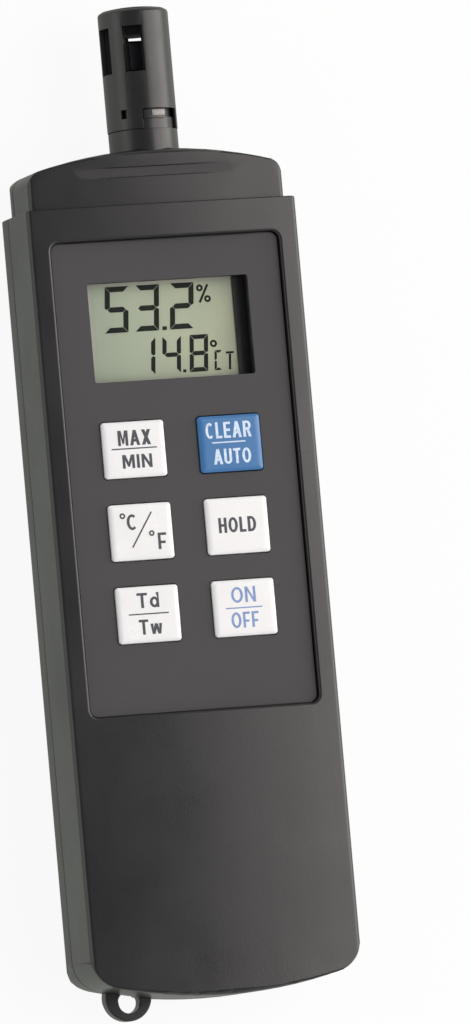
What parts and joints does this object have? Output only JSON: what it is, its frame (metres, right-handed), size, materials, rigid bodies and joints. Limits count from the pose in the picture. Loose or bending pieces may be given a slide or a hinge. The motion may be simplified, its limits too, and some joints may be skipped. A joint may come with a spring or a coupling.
{
  "type": "thermo-hygrometer",
  "caption": "Hand-held thermo-hygrometer with a sensor probe whose vents a turning sleeve shades, a display, square keys and a folding rear stand.",
  "frame": {"origin": "centre of the whole part's footprint, on the plane of the rear face, with the instrument lying on its back", "axes": "+X across the body to the right as one reads the display, +Y along the body towards the probe's tip, +Z out of the face"},
  "size_m": [0.0524, 0.189, 0.0218],
  "materials": {
    "case": "fine moulded texture, charcoal grey",
    "panel": "smooth matt, dark grey",
    "clear_window": "clear, polished",
    "black_frame": "moulded black",
    "display_cell": "reflective grey-green display",
    "contact_rubber": "layered conductive rubber",
    "circuit_board": "green solder mask",
    "sensor_circuit_board": "black solder mask",
    "epoxy": "black potting",
    "plated_metal": "bright plated",
    "capacitor_sleeve": "dark blue sleeve",
    "silicone": "matt grey silicone",
    "white_key": "satin off-white",
    "blue_key": "satin blue",
    "probe_inner": "moulded, near black",
    "probe_outer": "moulded, near black with a soft sheen",
    "sensor_can": "light grey sensor body",
    "battery_can": "plain dark wrap",
    "snap_cover": "black moulding",
    "red_insulation": "red insulation",
    "black_insulation": "black insulation",
    "foam": "closed-cell foam",
    "screw_steel": "zinc plated"
  },
  "bodies": {
    "housing": {"rear_shell": "case", "front_shell": "case", "face_panel": "panel", "lcd_window": "clear_window", "lcd_frame": "black_frame", "lcd_cell": "display_cell", "contact_strips": "contact_rubber", "main_board": "circuit_board", "controller_chip": "epoxy", "crystal": "plated_metal", "capacitors": "capacitor_sleeve", "keypad_mat": "silicone", "probe_tube": "probe_inner", "sensor_board": "sensor_circuit_board", "humidity_sensor": "sensor_can", "temperature_sensor": "epoxy", "sensor_header": "black_frame", "battery": "battery_can", "battery_snap": "snap_cover", "red_lead": "red_insulation", "black_lead": "black_insulation", "battery_foam": "foam", "case_screws": "screw_steel", "board_screws": "screw_steel"},
    "sleeve": {"vent_sleeve": "probe_outer"},
    "door": {"battery_door": "case"},
    "rear_stand": {"stand": "case"},
    "key_max_min_cap": {"key_max_min": "white_key"},
    "key_clear_auto_cap": {"key_clear_auto": "blue_key"},
    "key_unit_cap": {"key_unit": "white_key"},
    "key_hold_cap": {"key_hold": "white_key"},
    "key_dew_wet_cap": {"key_dew_wet": "white_key"},
    "key_on_off_cap": {"key_on_off": "white_key"}
  },
  "joints": [
    {"name": "sleeve_turn", "type": "hinge", "parent": "housing", "child": "sleeve", "pos_m": [0, 0.08238, 0.01251], "axis": [0, -1, 0], "range_deg": [0, 31]},
    {"name": "stand_hinge", "type": "hinge", "parent": "housing", "child": "rear_stand", "pos_m": [0, 0.04827, 0.0018], "axis": [1, 0, 0], "range_deg": [0, 105]},
    {"name": "door_slide", "type": "slide", "parent": "housing", "child": "door", "axis": [0, -1, 0], "range_m": [0, 0.05]},
    {"name": "key_max_min_press", "type": "slide", "parent": "housing", "child": "key_max_min_cap", "axis": [0, 0, -1], "range_m": [0, 0.0008], "stiffness_N_per_m": 1500},
    {"name": "key_clear_auto_press", "type": "slide", "parent": "housing", "child": "key_clear_auto_cap", "axis": [0, 0, -1], "range_m": [0, 0.0008], "stiffness_N_per_m": 1500},
    {"name": "key_unit_press", "type": "slide", "parent": "housing", "child": "key_unit_cap", "axis": [0, 0, -1], "range_m": [0, 0.0008], "stiffness_N_per_m": 1500},
    {"name": "key_hold_press", "type": "slide", "parent": "housing", "child": "key_hold_cap", "axis": [0, 0, -1], "range_m": [0, 0.0008], "stiffness_N_per_m": 1500},
    {"name": "key_dew_wet_press", "type": "slide", "parent": "housing", "child": "key_dew_wet_cap", "axis": [0, 0, -1], "range_m": [0, 0.0008], "stiffness_N_per_m": 1500},
    {"name": "key_on_off_press", "type": "slide", "parent": "housing", "child": "key_on_off_cap", "axis": [0, 0, -1], "range_m": [0, 0.0008], "stiffness_N_per_m": 1500}
  ]
}
